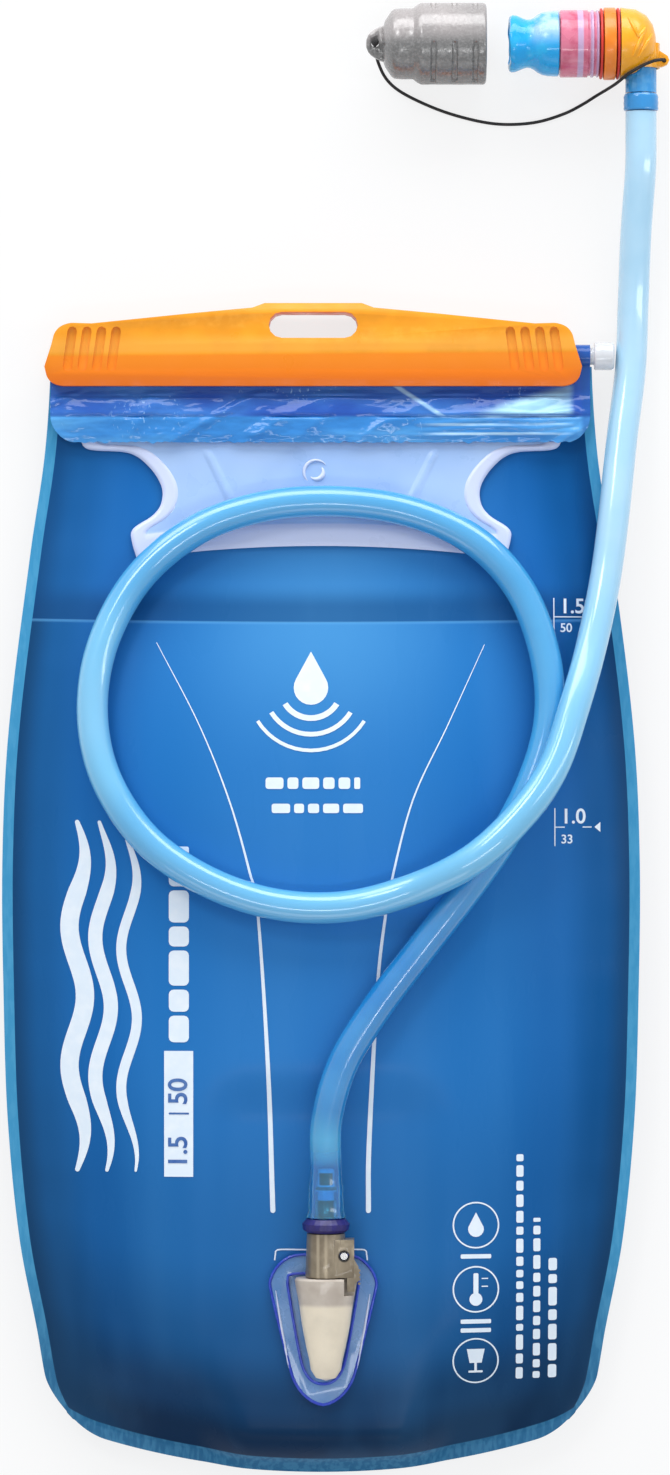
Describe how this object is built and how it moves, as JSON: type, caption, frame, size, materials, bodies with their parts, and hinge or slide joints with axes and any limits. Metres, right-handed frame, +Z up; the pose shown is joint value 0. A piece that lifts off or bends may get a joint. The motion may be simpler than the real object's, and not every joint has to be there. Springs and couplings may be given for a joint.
{
  "type": "hydration bladder",
  "caption": "Glossy blue film hydration bladder lying on its back, with an orange slide-on clip, a coiled translucent drink hose, a quick-release port and a bite valve with its grey cap off",
  "frame": {"origin": "centre of the bottom of the pouch and clip's box, on the surface it lies on", "axes": "+X across the pouch to the side where the hose leaves, +Y from the bottom weld to the clip, +Z up from the surface"},
  "size_m": [0.1869, 0.4117, 0.0416],
  "materials": {
    "blue_film": "smooth glossy film, see-through blue",
    "clear_plastic": "clear, slightly frosted",
    "lavender_flap": "translucent soft plastic",
    "orange_plastic": "moulded, satin gloss",
    "port_blue": "clear blue moulding",
    "cream_plastic": "moulded, satin",
    "taupe_plastic": "moulded, satin metallic",
    "indigo_plastic": "moulded, satin",
    "steel": "bright stainless",
    "seal_rubber": "soft seal rubber",
    "hose_blue": "glossy translucent tube",
    "valve_blue": "clear blue moulding",
    "blue_silicone": "glossy silicone",
    "pink_core": "translucent moulding",
    "grey_rubber": "satin rubber",
    "black_cord": "braided thin cord"
  },
  "bodies": {
    "reservoir": {"front_film": "blue_film", "back_film": "blue_film", "mouth_band": "blue_film", "closure_rail": "clear_plastic", "pull_flap": "lavender_flap", "port_flange": "port_blue", "port_socket": "cream_plastic", "port_spring": "steel", "hose": "hose_blue", "swivel_spigot": "valve_blue", "swivel_oring": "seal_rubber", "hose_collar": "valve_blue"},
    "clip": {"slider_clip": "orange_plastic"},
    "poppet": {"port_poppet": "cream_plastic", "poppet_seal": "seal_rubber"},
    "plug": {"plug_body": "taupe_plastic", "plug_oring": "seal_rubber", "hose_barb": "indigo_plastic", "plug_collar": "indigo_plastic", "hose_end": "hose_blue", "lever_pin": "steel", "lever_spring": "steel"},
    "lever": {"release_lever": "taupe_plastic"},
    "elbow": {"valve_elbow": "orange_plastic", "rear_seal": "seal_rubber", "cap_tether": "black_cord", "elbow_knot": "black_cord"},
    "head": {"lock_ring": "orange_plastic", "front_seal": "seal_rubber", "valve_core": "pink_core", "bite_tip": "blue_silicone", "slit_membrane": "blue_silicone"},
    "cap": {"dust_cap": "grey_rubber", "cap_knot": "black_cord"}
  },
  "joints": [
    {"name": "clip_slide", "type": "slide", "parent": "reservoir", "child": "clip", "axis": [-1, 0, 0], "range_m": [0, 0.155]},
    {"name": "plug_pull", "type": "slide", "parent": "reservoir", "child": "plug", "axis": [0, 1, 0], "range_m": [0, 0.022], "deforming": ["hose"]},
    {"name": "poppet_travel", "type": "slide", "parent": "reservoir", "child": "poppet", "axis": [0, 1, 0], "range_m": [0, 0.0015], "deforming": ["port_spring"]},
    {"name": "lever_press", "type": "hinge", "parent": "plug", "child": "lever", "pos_m": [0.0064, -0.1011, 0.02902], "axis": [0, 0, 1], "range_deg": [-4, 0], "stiffness_Nm_per_rad": 0.02, "deforming": ["lever_spring"]},
    {"name": "elbow_swivel", "type": "hinge", "parent": "reservoir", "child": "elbow", "pos_m": [0.0896, 0.2294, 0.0114], "axis": [0, 1, 0], "continuous": true},
    {"name": "head_twist", "type": "hinge", "parent": "elbow", "child": "head", "pos_m": [0.079, 0.2364, 0.0114], "axis": [1, 0, 0], "range_deg": [0, 90]},
    {"name": "cap_slide", "type": "slide", "parent": "elbow", "child": "cap", "axis": [1, 0, 0], "range_m": [0, 0.0315], "deforming": ["cap_tether"]}
  ],
  "couplings": [
    {"joint": "poppet_travel", "follows": "plug_pull", "ratio": 0.06818}
  ]
}
